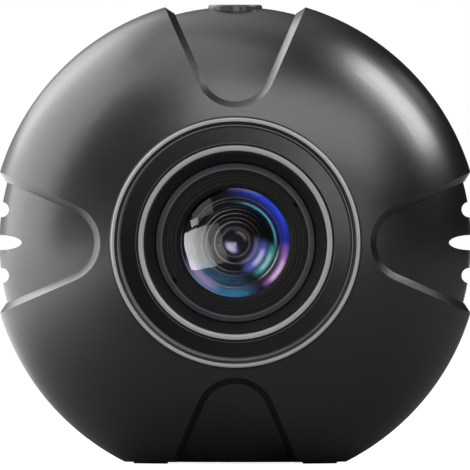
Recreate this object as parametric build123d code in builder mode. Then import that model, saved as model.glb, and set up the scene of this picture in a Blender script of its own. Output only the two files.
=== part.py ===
from build123d import *
from math import asin, copysign, cos, degrees, radians, sin, sqrt
import os

# Indoor security camera: a flattened ball with a ringed lens in front and a flat base.
# Millimetres. X runs to the viewer's right, the lens looks along -Y and Z is up.
# The origin lies under the middle of the body, on the surface that the camera stands on.

os.makedirs("parts", exist_ok=True)

# Body
body_radius = 32.4
body_half_depth = 19.2
half_length = 17.4
recess_depth = 1.3
wall = 1.8
base_cut = 3.5
base_wall = 2.0
foot_height = 0.2

# U-shaped recesses, measured at the foot of their slanted walls
recess_count = 4
recess_arc_radius = 4.45
recess_arc_centre = 22.95
recess_side_angle = 23.5
recess_slant_width = 0.85
recess_slant_depth = 1.15

# Grooves in the sides
groove_pitch = 4.35
groove_height = 2.0
middle_groove_depth = 3.0
outer_groove_depth = 1.0
groove_wall = 1.6

# Front pocket and the rings in it
pocket_radius = 16.6
pocket_depth = 2.4
floor_thickness = 1.5
front_bore_radius = 12.0
ring_gap = 0.05
bezel_width = 0.95
bezel_crest_width = 0.25
bezel_outer_bevel = 0.35
bezel_outer_bevel_drop = 0.6
bezel_inner_bevel_drop = 0.4
window_inner_radius = 13.0
window_lip_width = 0.45
window_lip_setback = 0.65
window_face_setback = 0.85
window_face_slope = 0.35
window_inner_bevel = 0.1
trim_setback = 0.9
trim_round = 0.4
hood_setback = 1.3
hood_flange_thickness = 0.4
hood_throat_radius = 10.55
hood_front_radius = 11.8
hood_cone_depth = 2.1
hood_flange_radius = 12.7

# Lens
barrel_head_radius = 10.4
barrel_head_setback = 3.0
barrel_shoulder = 1.3
barrel_bevel_width = 0.6
barrel_bevel_drop = 0.45
thread_radius = 6.0
barrel_rear = 0.0
retainer_radius = 9.55
retainer_setback = 3.2
retainer_thickness = 1.15
retainer_opening_radius = 7.15
retainer_lip_radius = 7.65
retainer_lip_drop = 0.5
retainer_groove_radii = (7.95, 8.45, 8.9)
retainer_groove_width = 0.12
retainer_groove_depth = 0.12
spanner_notch_radius = 0.45
spanner_notch_angle = 32
spanner_notch_depth = 0.7
front_glass_radius = 7.55
front_glass_setback = 3.15
front_glass_curve = 21.6
front_glass_hollow_curve = 8.2
front_glass_hollow_radius = 5.4
front_glass_edge = 1.6
spacer_length = 2.0
spacer_bore_radius = 5.3
second_glass_edge = 1.4
second_glass_curve = 14.0
inner_bore_radius = 5.2
sleeve_wall = 0.8
sleeve_length = 3.7
stop_opening_radius = 1.7
stop_thickness = 0.4
rear_glass_edge = 1.8
rear_glass_curve = 9.0
rear_opening_radius = 3.9

# Night-light board behind the window
led_circle_radius = 13.85
led_count = 8
led_well_radius = 1.0
led_width = 1.2
led_height = 1.2
light_sensor_width = 1.1
light_sensor_height = 0.8
led_board_thickness = 1.0
led_board_radius = 15.4
led_board_edge_gap = 0.2
board_gap = 0.15
small_screw_radius = 0.5
small_screw_grip = 1.0
small_head_radius = 1.0
small_head_height = 0.5

# Lens holder and day/night filter switcher
holder_half_width = 10.4
holder_top = 5.5
holder_shoulder = 8.4
holder_neck_half_width = 4.5
holder_bottom = 12.9
holder_front = 4.0
holder_block_front = 1.6
holder_floor = 0.6
holder_rear_opening_radius = 3.6
holder_shelf_drop = 4.4
holder_pad_start = 5.0
holder_screw_place = (7.7, -6.4)
holder_screw_grip = 2.0
holder_wall = 1.0
holder_boss_radius = 7.6
carriage_half_width = 6.0
carriage_half_height = 3.9
carriage_thickness = 1.0
carriage_gap = 0.15
pane_spacing = 6.0
pane_width = 5.4
pane_height = 6.4
pane_thickness = 0.6
pane_ledge = 0.3
carriage_tab_half_width = 1.4
carriage_tab_wall = 0.4
arm_length = 5.0
arm_pivot_drop = 10.2
arm_thickness = 0.8
arm_half_width = 0.65
arm_hub_radius = 1.2
arm_pin_tip = -1.2
arm_pin_radius = 0.4
arm_pin_play = 0.15
pivot_pin_radius = 0.45
pivot_play = 0.05
magnet_radius = 1.6
magnet_front = -1.4
magnet_rear = -3.6
cover_thickness = 0.5
cover_window = 6.0
coil_radius = 1.1
coil_clearance = 0.05
core_radius = 0.5
coil_length = 7.8
yoke_thickness = 0.6
yoke_top_drop = 8.7
yoke_foot = 0.6
yoke_depth = 2.0

# Boards
sensor_board_front = -5.0
sensor_board_thickness = 1.0
sensor_board_half_width = 12.0
sensor_board_top = 11.4
sensor_board_bottom = 13.4
sensor_width = 9.0
sensor_height = 8.2
sensor_thickness = 1.0
sensor_glass_thickness = 0.4
sensor_glass_margin = 0.4
spacer_radius = 1.4
spacer_screw_radius = 0.6
spacer_screw_length = 2.4
spacer_stub_radius = 0.7
board_screw_head_radius = 1.0
board_screw_head_height = 0.5
upper_spacer_place = (10.3, 9.9)
lower_spacer_place = (8.5, -10.6)
board_spacing = 2.5
main_board_thickness = 1.2
main_board_radius = 20.3
main_board_top = 16.0
main_boss_radius = 2.0
main_boss_place = (13.0, 12.0)
main_screw_radius = 0.8
main_screw_head_radius = 1.5
main_screw_head_height = 0.8
main_screw_grip = 2.5
connector_width = 12.0
connector_height = 2.2
connector_place = (0.0, -8.5)
processor_size = 9.0
processor_height = 1.2
memory_width = 7.0
memory_height = 5.0
memory_thickness = 1.0
memory_place = (0.0, 8.2)
radio_width = 8.0
radio_height = 9.0
radio_thickness = 1.8
radio_inset = 15.8
radio_rise = 4.5
antenna_width = 7.0
antenna_height = 5.0
antenna_stand = 1.6
antenna_thickness = 0.3
antenna_leg_width = 0.8
antenna_slot_height = 1.0
antenna_place = (-13.0, 4.0)

# Rear openings and the sockets behind them
usb_width = 8.9
usb_height = 3.2
usb_sheet = 0.3
usb_place = (0.0, -2.0)
usb_mouth_inset = 0.4
usb_cavity_depth = 5.2
usb_tongue_width = 6.7
usb_tongue_thickness = 0.7
port_gap = 0.15
reset_place = (8.5, -2.0)
reset_body = 3.0
reset_body_height = 2.0
reset_plunger_radius = 0.7
reset_plunger_rise = 0.6
reset_sunk = 0.4
reset_travel = 0.25
pinhole_radius = 0.6
microphone_place = (-8.5, -2.0)
microphone_width = 3.8
microphone_height = 2.9
microphone_thickness = 1.1
boot_radius = 1.9
boot_gap = 0.3
sound_hole_radius = 0.5
speaker_place = (0.0, 8.5)
speaker_radius = 5.5
speaker_thickness = 2.8
speaker_edge_round = 0.4
speaker_seat_radius = 6.2
speaker_seat_gap = 0.14
speaker_hole_radius = 0.6
speaker_hole_circle = 2.4
speaker_hole_count = 6
card_socket_width = 14.0
card_socket_gap = 0.15
card_socket_thickness = 1.5
card_socket_top = -5.2
card_slot_width = 11.6
card_slot_height = 1.1
card_slot_inset = 0.25
card_slot_play = 0.1
card_slot_end = 1.0

# Power button and its switch
button_radius = 3.55
button_proud = 0.25
button_edge_round = 0.3
button_gap = 0.08
button_flange_radius = 4.4
button_flange_thickness = 0.7
button_flange_gap = 0.05
button_boss_radius = 5.6
button_boss_depth = 3.2
button_travel = 0.4
switch_size = 6.0
switch_height = 3.1
plunger_radius = 1.75
plunger_rise = 0.9
plunger_sunk = 0.8
plunger_play = 0.05
switch_board_width = 11.0
switch_board_front = 4.0
switch_board_rear = -8.8
switch_board_thickness = 1.0
shelf_thickness = 1.4
shelf_front = 4.2
shelf_screw_setback = 6.8
shelf_screw_inset = 1.6
shelf_screw_grip = 1.2

# Battery and base
battery_width = 24.0
battery_depth = 11.0
battery_gap = 0.25
battery_round = 1.2
battery_pad_thickness = 0.5
insert_radius = 4.0
insert_bore_radius = 2.55
insert_length = 5.6
insert_collar_radius = 4.5
insert_collar_start = 2.0
insert_collar_length = 1.4
insert_boss_radius = 6.0
insert_boss_height = 6.4
pad_inner = 8.9
pad_outer = 13.4
pad_edge_margin = 0.9
pad_sink = 0.8

# Screws and lip that join the shells
shell_boss_radius = 2.8
shell_boss_gap = 0.4
shell_screw_radius = 1.0
shell_screw_play = 0.15
shell_screw_reach = 7.0
shell_head_radius = 1.9
shell_head_height = 1.3
shell_head_play = 0.2
shell_head_seat = -8.6
cross_length = 2.4
cross_width = 0.5
cross_depth = 0.7
lip_gap = 0.2
lip_thickness = 0.8
lip_length = 1.3
lip_root = 4.0
lip_end_gap = 0.3
lip_button_gap = 1.0

# Sizes that follow from the ones above
base_drop = body_radius - base_cut
axis_height = base_drop + foot_height
pocket_floor = half_length - pocket_depth
window_lip_front = half_length - window_lip_setback
window_face_outer_front = half_length - window_face_setback
window_face_inner_front = window_face_outer_front - window_face_slope
trim_front = half_length - trim_setback
hood_front = half_length - hood_setback
hood_cone_end = hood_front - hood_cone_depth
barrel_head_front = half_length - barrel_head_setback
retainer_front = half_length - retainer_setback
front_glass_crest = half_length - front_glass_setback
shell_screw_circle = main_board_radius + shell_boss_gap + shell_boss_radius
recess_radius = body_radius - recess_depth
recess_half_depth = body_half_depth - recess_depth
cavity_radius = recess_radius - wall
cavity_half_depth = recess_half_depth - wall
cavity_front = pocket_floor - floor_thickness
cavity_rear = -(half_length - wall)
sensor_board_rear = sensor_board_front - sensor_board_thickness
main_board_front = sensor_board_rear - board_spacing
main_board_rear = main_board_front - main_board_thickness
led_board_rear = cavity_front - led_board_thickness
hood_rear = led_board_rear - hood_flange_thickness
led_board_inner_radius = front_bore_radius + board_gap
base_half_width = sqrt(body_radius ** 2 - base_drop ** 2)
base_half_depth = body_half_depth * base_half_width / body_radius
side_block_start = recess_radius - middle_groove_depth - groove_wall
side_block_height = 2 * (groove_pitch + groove_wall) + groove_height
button_top = recess_radius + button_proud
button_boss_drop = recess_radius - button_boss_depth
flange_top = button_boss_drop - button_flange_gap
flange_bottom = flange_top - button_flange_thickness
switch_top = flange_bottom - plunger_rise
switch_bottom = switch_top - switch_height
shelf_top = switch_bottom - switch_board_thickness
shelf_bottom = shelf_top - shelf_thickness
battery_bottom = -base_drop + insert_boss_height + battery_pad_thickness
cut = 1.0

lens_axis = Axis((0, 0, axis_height), (0, 1, 0))
half_section = Plane(origin=(0, 0, axis_height), x_dir=(1, 0, 0), z_dir=(0, 0, -1))


def across(forward):
    """Upright plane square to the lens axis: x to the right, y up, extruding forward."""
    return Plane(origin=(0, -forward, axis_height), x_dir=(1, 0, 0), z_dir=(0, -1, 0))


def level(height):
    """Level plane at a height above the lens axis."""
    return Plane.XY.offset(axis_height + height)


def bulge(radius, half_depth, at_radius):
    """Forward reach of a flattened ball at a distance from the lens axis."""
    return half_depth * sqrt(1 - (at_radius / radius) ** 2)


card_socket_rear = card_socket_thickness - main_board_rear
card_socket_reach = cavity_radius * sqrt(1 - (card_socket_rear / cavity_half_depth) ** 2)
card_socket_end = sqrt(card_socket_reach ** 2 - (card_socket_width / 2) ** 2) - card_socket_gap
card_socket_length = card_socket_top + card_socket_end
speaker_reach = speaker_place[1] + speaker_radius
speaker_face = speaker_seat_gap - bulge(cavity_radius, cavity_half_depth, speaker_reach)

# Forms shared by the two shells

with BuildPart() as outer_form:
    with BuildSketch(half_section):
        Ellipse(body_radius, body_half_depth)
        Rectangle(
            body_radius + cut, 2 * (body_half_depth + cut),
            align=(Align.MIN, Align.CENTER), mode=Mode.INTERSECT,
        )
    revolve(axis=lens_axis)

with BuildPart() as recess_form:
    with BuildSketch(half_section):
        Ellipse(recess_radius, recess_half_depth)
        Rectangle(
            recess_radius + cut, 2 * body_half_depth,
            align=(Align.MIN, Align.CENTER), mode=Mode.INTERSECT,
        )
    revolve(axis=lens_axis)

side_slope = radians(recess_side_angle)
tangent_x = recess_arc_radius * cos(side_slope)
tangent_y = recess_arc_centre - recess_arc_radius * sin(side_slope)
recess_top = body_radius + cut
recess_top_x = tangent_x + (recess_top - tangent_y) * sin(side_slope) / cos(side_slope)

with BuildPart() as recess_tool:
    with BuildSketch(across(0)):
        with BuildLine():
            Line((recess_top_x, recess_top), (tangent_x, tangent_y))
            ThreePointArc(
                (tangent_x, tangent_y),
                (0, recess_arc_centre - recess_arc_radius),
                (-tangent_x, tangent_y),
            )
            Line((-tangent_x, tangent_y), (-recess_top_x, recess_top))
            Line((-recess_top_x, recess_top), (recess_top_x, recess_top))
        make_face()
    extrude(amount=body_half_depth + cut, both=True)
    add(recess_form.part, mode=Mode.SUBTRACT)


def lobe_edges(half):
    """Edges where the recess walls meet the outer form."""
    found = []
    for edge in half.edges().filter_by(GeomType.BSPLINE):
        middle = edge @ 0.5
        reach = sqrt(middle.X ** 2 + (middle.Z - axis_height) ** 2)
        if abs((reach / body_radius) ** 2 + (middle.Y / body_half_depth) ** 2 - 1) < 0.002:
            found.append(edge)
    return found


def body_half(keep):
    """Front or rear half of the solid body, with its recesses, slanted walls and flat base."""
    with BuildPart() as half:
        add(outer_form.part.rotate(lens_axis, 45))
        for turn in range(recess_count):
            add(recess_tool.part.rotate(lens_axis, turn * 360 / recess_count), mode=Mode.SUBTRACT)
        split(bisect_by=across(0), keep=keep)
        outer_face = half.faces().filter_by(GeomType.REVOLUTION).sort_by(SortBy.AREA)[-1]
        chamfer(lobe_edges(half), recess_slant_width, recess_slant_depth, reference=outer_face)
        split(bisect_by=level(-base_drop), keep=Keep.TOP)
    return half.part


with BuildPart() as groove_tool:
    with BuildSketch(across(0)):
        with Locations((-recess_radius, 0), (recess_radius, 0)):
            Ellipse(middle_groove_depth, groove_height / 2)
        groove_edge = sqrt(recess_radius ** 2 - groove_pitch ** 2)
        with GridLocations(2 * groove_edge, 2 * groove_pitch, 2, 2):
            Ellipse(outer_groove_depth, groove_height / 2)
    extrude(amount=body_half_depth, both=True)

with BuildPart() as cavity:
    with BuildSketch(half_section):
        Ellipse(cavity_radius, cavity_half_depth)
        with Locations((0, cavity_rear)):
            Rectangle(
                cavity_radius + cut, cavity_front - cavity_rear,
                align=(Align.MIN, Align.MIN), mode=Mode.INTERSECT,
            )
    revolve(axis=lens_axis)
    split(bisect_by=level(-base_drop + base_wall), keep=Keep.TOP)
    # Room for the edge of the night-light board
    with BuildSketch(across(led_board_rear)):
        Circle(led_board_radius + led_board_edge_gap)
    extrude(amount=led_board_thickness)
    # Thick walls behind the side grooves, and the pillars of the shell screws
    with BuildSketch(across(0)):
        with Locations((side_block_start, 0)):
            Rectangle(body_radius, side_block_height, align=(Align.MIN, Align.CENTER))
        with Locations((-side_block_start, 0)):
            Rectangle(body_radius, side_block_height, align=(Align.MAX, Align.CENTER))
        with PolarLocations(shell_screw_circle, 4, start_angle=45):
            Circle(shell_boss_radius)
    extrude(amount=body_half_depth, both=True, mode=Mode.SUBTRACT)
    # Collar round the power button
    with BuildSketch(level(button_boss_drop)):
        Circle(button_boss_radius)
    extrude(amount=body_radius, mode=Mode.SUBTRACT)
    # Boss of the tripod insert
    with BuildSketch(level(-base_drop)):
        Circle(insert_boss_radius)
    extrude(amount=insert_boss_height, mode=Mode.SUBTRACT)
    # Seat of the speaker and bosses of the main board
    with BuildSketch(across(speaker_face)):
        with Locations(speaker_place):
            Circle(speaker_seat_radius)
    extrude(amount=-half_length, mode=Mode.SUBTRACT)
    with BuildSketch(across(main_board_rear)):
        with GridLocations(2 * main_boss_place[0], 2 * main_boss_place[1], 2, 2):
            Circle(main_boss_radius)
    extrude(amount=-half_length, mode=Mode.SUBTRACT)

with BuildPart() as pad_form:
    with BuildSketch(level(-base_drop)):
        Ellipse(base_half_width - pad_edge_margin, base_half_depth - pad_edge_margin)
        with GridLocations(pad_inner + pad_outer, 0, 2, 1):
            Rectangle(pad_outer - pad_inner, 2 * base_half_depth, mode=Mode.INTERSECT)
    extrude(amount=pad_sink)

# Openings that both shells share: button hole, insert pocket, foot pad pockets
with BuildPart() as shared_cuts:
    with BuildSketch(level(button_boss_drop - cut)):
        Circle(button_radius + button_gap)
    extrude(amount=body_radius)
    with BuildSketch(level(-base_drop - cut)):
        Circle(insert_radius)
    extrude(amount=insert_length + cut)
    with BuildSketch(level(-base_drop + insert_collar_start)):
        Circle(insert_collar_radius)
    extrude(amount=insert_collar_length)
    add(pad_form.part)
    add(groove_tool.part)

# Casing

with BuildPart() as front_shell:
    add(body_half(Keep.TOP))
    add(cavity.part, mode=Mode.SUBTRACT)
    add(shared_cuts.part, mode=Mode.SUBTRACT)
    with BuildSketch(across(pocket_floor)):
        Circle(pocket_radius)
    extrude(amount=half_length, mode=Mode.SUBTRACT)
    with BuildSketch(across(cavity_front - cut)):
        Circle(front_bore_radius)
        with PolarLocations(led_circle_radius, led_count, start_angle=180 / led_count):
            Circle(led_well_radius)
        with Locations((0, led_circle_radius)):
            Circle(led_well_radius)
    extrude(amount=half_length, mode=Mode.SUBTRACT)
    with BuildSketch(across(cavity_front)):
        with Locations((-led_circle_radius, 0), (led_circle_radius, 0), (0, -led_circle_radius)):
            Circle(small_screw_radius)
    extrude(amount=small_screw_grip, mode=Mode.SUBTRACT)
    with BuildSketch(across(0)):
        with PolarLocations(shell_screw_circle, 4, start_angle=45):
            Circle(shell_screw_radius)
    extrude(amount=shell_screw_reach, mode=Mode.SUBTRACT)
front_shell.part.label = "front_shell"
export_step(front_shell.part, "parts/front_shell.step")

shelf_root = bulge(cavity_radius, cavity_half_depth, shelf_bottom) + wall / 4

with BuildPart() as rear_shell:
    add(body_half(Keep.BOTTOM))
    split(bisect_by=across(-half_length), keep=Keep.TOP)
    add(cavity.part, mode=Mode.SUBTRACT)
    # Lip that locates the front shell, open at the grooves, the button and the base
    with BuildSketch(across(-lip_root)):
        Circle(cavity_radius - lip_gap)
        Circle(cavity_radius - lip_gap - lip_thickness, mode=Mode.SUBTRACT)
        Rectangle(
            2 * body_radius, side_block_height + 2 * lip_end_gap, mode=Mode.SUBTRACT,
        )
        with Locations((0, cavity_radius)):
            Rectangle(
                2 * (button_boss_radius + lip_button_gap), cavity_radius, mode=Mode.SUBTRACT,
            )
        with Locations((0, -base_drop + base_wall + lip_end_gap)):
            Rectangle(
                2 * body_radius, body_radius,
                align=(Align.CENTER, Align.MAX), mode=Mode.SUBTRACT,
            )
    extrude(amount=lip_root + lip_length)
    add(shared_cuts.part, mode=Mode.SUBTRACT)
    # Shelf under the power switch
    with BuildSketch(level(shelf_bottom)):
        with Locations((0, -shelf_front)):
            Rectangle(
                switch_board_width, shelf_front + shelf_root, align=(Align.CENTER, Align.MIN),
            )
    extrude(amount=shelf_thickness)
    with BuildSketch(level(shelf_top)):
        with Locations((0, shelf_screw_setback)):
            with GridLocations(switch_board_width - 2 * shelf_screw_inset, 0, 2, 1):
                Circle(small_screw_radius)
    extrude(amount=-shelf_screw_grip, mode=Mode.SUBTRACT)
    # Shell screws: through holes and sunk heads
    with BuildSketch(across(-half_length)):
        with PolarLocations(shell_screw_circle, 4, start_angle=45):
            Circle(shell_screw_radius + shell_screw_play)
    extrude(amount=half_length + cut, mode=Mode.SUBTRACT)
    with BuildSketch(across(shell_head_seat)):
        with PolarLocations(shell_screw_circle, 4, start_angle=45):
            Circle(shell_head_radius + shell_head_play)
    extrude(amount=-half_length, mode=Mode.SUBTRACT)
    # Main board screws
    with BuildSketch(across(main_board_rear)):
        with GridLocations(2 * main_boss_place[0], 2 * main_boss_place[1], 2, 2):
            Circle(main_screw_radius)
    extrude(amount=-main_screw_grip, mode=Mode.SUBTRACT)
    # Rear openings
    with BuildSketch(across(speaker_face)):
        with Locations(usb_place):
            SlotOverall(usb_width + 2 * port_gap, usb_height + 2 * port_gap)
        with Locations(reset_place):
            Circle(pinhole_radius)
        with Locations(microphone_place):
            Circle(sound_hole_radius)
        with Locations(speaker_place):
            Circle(speaker_hole_radius)
            with PolarLocations(speaker_hole_circle, speaker_hole_count):
                Circle(speaker_hole_radius)
    extrude(amount=-half_length, mode=Mode.SUBTRACT)
    with BuildSketch(level(-card_socket_end)):
        with Locations((0, -main_board_rear + card_slot_inset)):
            Rectangle(card_slot_width, card_slot_height, align=(Align.CENTER, Align.MIN))
    extrude(amount=-body_radius, mode=Mode.SUBTRACT)
rear_shell.part.label = "rear_shell"
export_step(rear_shell.part, "parts/rear_shell.step")

with BuildPart() as shell_screws:
    with BuildSketch(across(shell_head_seat)):
        with PolarLocations(shell_screw_circle, 4, start_angle=45):
            Circle(shell_head_radius)
    extrude(amount=-shell_head_height)
    with BuildSketch(across(shell_head_seat)):
        with PolarLocations(shell_screw_circle, 4, start_angle=45):
            Circle(shell_screw_radius)
    extrude(amount=shell_screw_reach - shell_head_seat)
    with BuildSketch(across(shell_head_seat - shell_head_height)):
        with PolarLocations(shell_screw_circle, 4, start_angle=45):
            Rectangle(cross_length, cross_width)
            Rectangle(cross_width, cross_length)
    extrude(amount=cross_depth, mode=Mode.SUBTRACT)
shell_screws.part.label = "shell_screws"
export_step(shell_screws.part, "parts/shell_screws.step")

with BuildPart() as foot_pads:
    add(pad_form.part)
    extrude(foot_pads.faces().group_by(Axis.Z)[0], amount=foot_height)
foot_pads.part.label = "foot_pads"
export_step(foot_pads.part, "parts/foot_pads.step")

with BuildPart() as tripod_insert:
    with BuildSketch(level(-base_drop)):
        Circle(insert_radius)
    extrude(amount=insert_length)
    with BuildSketch(level(-base_drop + insert_collar_start)):
        Circle(insert_collar_radius)
    extrude(amount=insert_collar_length)
    with BuildSketch(level(-base_drop)):
        Circle(insert_bore_radius)
    extrude(amount=insert_length, mode=Mode.SUBTRACT)
tripod_insert.part.label = "tripod_insert"
export_step(tripod_insert.part, "parts/tripod_insert.step")

# Rings in the front pocket, each a turned profile of distance from the lens axis and forward reach

bezel_outer = pocket_radius - ring_gap
bezel_inner = bezel_outer - bezel_width
window_outer = bezel_inner - ring_gap
window_lip = window_outer - window_lip_width
trim_outer = window_inner_radius - ring_gap
hood_outer = front_bore_radius - ring_gap

with BuildPart() as bezel_ring:
    with BuildSketch(half_section):
        with BuildLine():
            Polyline(
                (bezel_inner, pocket_floor),
                (bezel_outer, pocket_floor),
                (bezel_outer, half_length - bezel_outer_bevel_drop),
                (bezel_outer - bezel_outer_bevel, half_length),
                (bezel_outer - bezel_outer_bevel - bezel_crest_width, half_length),
                (bezel_inner, half_length - bezel_inner_bevel_drop),
                close=True,
            )
        make_face()
    revolve(axis=lens_axis)
bezel_ring.part.label = "bezel_ring"
export_step(bezel_ring.part, "parts/bezel_ring.step")

with BuildPart() as night_window:
    with BuildSketch(half_section):
        with BuildLine():
            Polyline(
                (window_inner_radius, pocket_floor),
                (window_outer, pocket_floor),
                (window_outer, window_lip_front),
                (window_lip, window_lip_front),
                (window_lip, window_face_outer_front),
                (window_inner_radius + window_inner_bevel, window_face_inner_front),
                (window_inner_radius, window_face_inner_front - window_inner_bevel),
                close=True,
            )
        make_face()
    revolve(axis=lens_axis)
night_window.part.label = "night_window"
export_step(night_window.part, "parts/night_window.step")

with BuildPart() as lens_trim_ring:
    with BuildSketch(half_section) as trim_profile:
        with Locations((front_bore_radius, pocket_floor)):
            Rectangle(
                trim_outer - front_bore_radius, trim_front - pocket_floor,
                align=(Align.MIN, Align.MIN),
            )
        fillet(trim_profile.vertices().group_by(Axis.Y)[-1], trim_round)
    revolve(axis=lens_axis)
lens_trim_ring.part.label = "lens_trim_ring"
export_step(lens_trim_ring.part, "parts/lens_trim_ring.step")

with BuildPart() as lens_hood:
    with BuildSketch(half_section):
        with BuildLine():
            Polyline(
                (hood_throat_radius, hood_rear),
                (hood_flange_radius, hood_rear),
                (hood_flange_radius, led_board_rear),
                (hood_outer, led_board_rear),
                (hood_outer, hood_front),
                (hood_front_radius, hood_front),
                (hood_throat_radius, hood_cone_end),
                close=True,
            )
        make_face()
    revolve(axis=lens_axis)
lens_hood.part.label = "lens_hood"
export_step(lens_hood.part, "parts/lens_hood.step")

# Lens


def sag(curve, radius):
    """Fall of a ball-shaped surface from its middle; a negative curve rises instead."""
    return curve - copysign(sqrt(curve ** 2 - radius ** 2), curve)


def glass_arc(crest, curve, radius):
    """Three points on a ball-shaped surface, from the lens axis out to a radius."""
    return [(reach, crest - sag(curve, reach)) for reach in (0, radius / 2, radius)]


retainer_rear = retainer_front - retainer_thickness
glass_bore = front_glass_radius + ring_gap
front_glass_front = front_glass_crest - sag(front_glass_curve, front_glass_radius)
front_glass_rear = front_glass_front - front_glass_edge
spacer_rear = front_glass_rear - spacer_length
second_glass_rear = spacer_rear - second_glass_edge
inner_glass_radius = inner_bore_radius - ring_gap
barrel_head_rear = second_glass_rear - barrel_shoulder
stop_rear = second_glass_rear - stop_thickness
sleeve_rear = stop_rear - sleeve_length
rear_glass_rear = sleeve_rear - rear_glass_edge
sleeve_bore = inner_glass_radius - sleeve_wall

with BuildPart() as lens_barrel:
    with BuildSketch(half_section):
        with BuildLine():
            Polyline(
                (rear_opening_radius, barrel_rear),
                (thread_radius, barrel_rear),
                (thread_radius, barrel_head_rear),
                (barrel_head_radius, barrel_head_rear),
                (barrel_head_radius, barrel_head_front - barrel_bevel_drop),
                (barrel_head_radius - barrel_bevel_width, barrel_head_front),
                (retainer_radius + ring_gap, barrel_head_front),
                (retainer_radius + ring_gap, retainer_rear),
                (glass_bore, retainer_rear),
                (glass_bore, second_glass_rear),
                (inner_bore_radius, second_glass_rear),
                (inner_bore_radius, rear_glass_rear),
                (rear_opening_radius, rear_glass_rear),
                close=True,
            )
        make_face()
    revolve(axis=lens_axis)
lens_barrel.part.label = "lens_barrel"
export_step(lens_barrel.part, "parts/lens_barrel.step")

with BuildPart() as lens_retainer:
    with BuildSketch(half_section):
        with BuildLine():
            Polyline(
                (retainer_opening_radius, retainer_rear),
                (retainer_radius, retainer_rear),
                (retainer_radius, retainer_front),
                (retainer_lip_radius, retainer_front),
                (retainer_opening_radius, retainer_front - retainer_lip_drop),
                close=True,
            )
        make_face()
        for groove_radius in retainer_groove_radii:
            with Locations((groove_radius, retainer_front)):
                Rectangle(retainer_groove_width, 2 * retainer_groove_depth, mode=Mode.SUBTRACT)
    revolve(axis=lens_axis)
    with BuildSketch(across(retainer_front)):
        with PolarLocations(retainer_radius, 2, start_angle=spanner_notch_angle):
            Circle(spanner_notch_radius)
    extrude(amount=-spanner_notch_depth, mode=Mode.SUBTRACT)
lens_retainer.part.label = "lens_retainer"
export_step(lens_retainer.part, "parts/lens_retainer.step")

hollow_crest = front_glass_rear + sag(front_glass_hollow_curve, front_glass_hollow_radius)

with BuildPart() as front_lens:
    with BuildSketch(half_section):
        with BuildLine():
            Line((0, hollow_crest), (0, front_glass_crest))
            ThreePointArc(*glass_arc(front_glass_crest, front_glass_curve, front_glass_radius))
            Line((front_glass_radius, front_glass_front), (front_glass_radius, front_glass_rear))
            Line((front_glass_radius, front_glass_rear), (front_glass_hollow_radius, front_glass_rear))
            ThreePointArc(*glass_arc(hollow_crest, front_glass_hollow_curve, front_glass_hollow_radius))
        make_face()
    revolve(axis=lens_axis)
front_lens.part.label = "front_lens"
export_step(front_lens.part, "parts/front_lens.step")

with BuildPart() as lens_spacer:
    with BuildSketch(across(spacer_rear)):
        Circle(front_glass_radius)
        Circle(spacer_bore_radius, mode=Mode.SUBTRACT)
    extrude(amount=spacer_length)
lens_spacer.part.label = "lens_spacer"
export_step(lens_spacer.part, "parts/lens_spacer.step")

second_view = spacer_bore_radius - ring_gap
second_crest = spacer_rear + sag(second_glass_curve, second_view)

with BuildPart() as second_lens:
    with BuildSketch(half_section):
        with BuildLine():
            Line((0, second_glass_rear), (0, second_crest))
            ThreePointArc(*glass_arc(second_crest, second_glass_curve, second_view))
            Line((second_view, spacer_rear), (front_glass_radius, spacer_rear))
            Line((front_glass_radius, spacer_rear), (front_glass_radius, second_glass_rear))
            Line((front_glass_radius, second_glass_rear), (0, second_glass_rear))
        make_face()
    revolve(axis=lens_axis)
second_lens.part.label = "second_lens"
export_step(second_lens.part, "parts/second_lens.step")

with BuildPart() as aperture_stop:
    with BuildSketch(across(stop_rear)):
        Circle(inner_glass_radius)
        Circle(stop_opening_radius, mode=Mode.SUBTRACT)
    extrude(amount=stop_thickness)
aperture_stop.part.label = "aperture_stop"
export_step(aperture_stop.part, "parts/aperture_stop.step")

with BuildPart() as lens_sleeve:
    with BuildSketch(across(sleeve_rear)):
        Circle(inner_glass_radius)
        Circle(sleeve_bore, mode=Mode.SUBTRACT)
    extrude(amount=sleeve_length)
lens_sleeve.part.label = "lens_sleeve"
export_step(lens_sleeve.part, "parts/lens_sleeve.step")

rear_view = rear_opening_radius - ring_gap
rear_front_crest = sleeve_rear + sag(rear_glass_curve, rear_view)
rear_back_crest = rear_glass_rear - sag(rear_glass_curve, rear_view)

with BuildPart() as rear_lens:
    with BuildSketch(half_section):
        with BuildLine():
            Line((0, rear_back_crest), (0, rear_front_crest))
            ThreePointArc(*glass_arc(rear_front_crest, rear_glass_curve, rear_view))
            Line((rear_view, sleeve_rear), (inner_glass_radius, sleeve_rear))
            Line((inner_glass_radius, sleeve_rear), (inner_glass_radius, rear_glass_rear))
            Line((inner_glass_radius, rear_glass_rear), (rear_view, rear_glass_rear))
            ThreePointArc(*glass_arc(rear_back_crest, -rear_glass_curve, rear_view))
        make_face()
    revolve(axis=lens_axis)
rear_lens.part.label = "rear_lens"
export_step(rear_lens.part, "parts/rear_lens.step")

# Night-light board

with BuildPart() as led_board:
    with BuildSketch(across(led_board_rear)):
        Circle(led_board_radius)
        Circle(led_board_inner_radius, mode=Mode.SUBTRACT)
        with Locations((-led_circle_radius, 0), (led_circle_radius, 0), (0, -led_circle_radius)):
            Circle(small_screw_radius, mode=Mode.SUBTRACT)
    extrude(amount=led_board_thickness)
led_board.part.label = "led_board"
export_step(led_board.part, "parts/led_board.step")

with BuildPart() as infrared_leds:
    with BuildSketch(across(cavity_front)):
        with PolarLocations(led_circle_radius, led_count, start_angle=180 / led_count):
            Rectangle(led_width, led_width)
    extrude(amount=led_height)
infrared_leds.part.label = "infrared_leds"
export_step(infrared_leds.part, "parts/infrared_leds.step")

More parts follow.
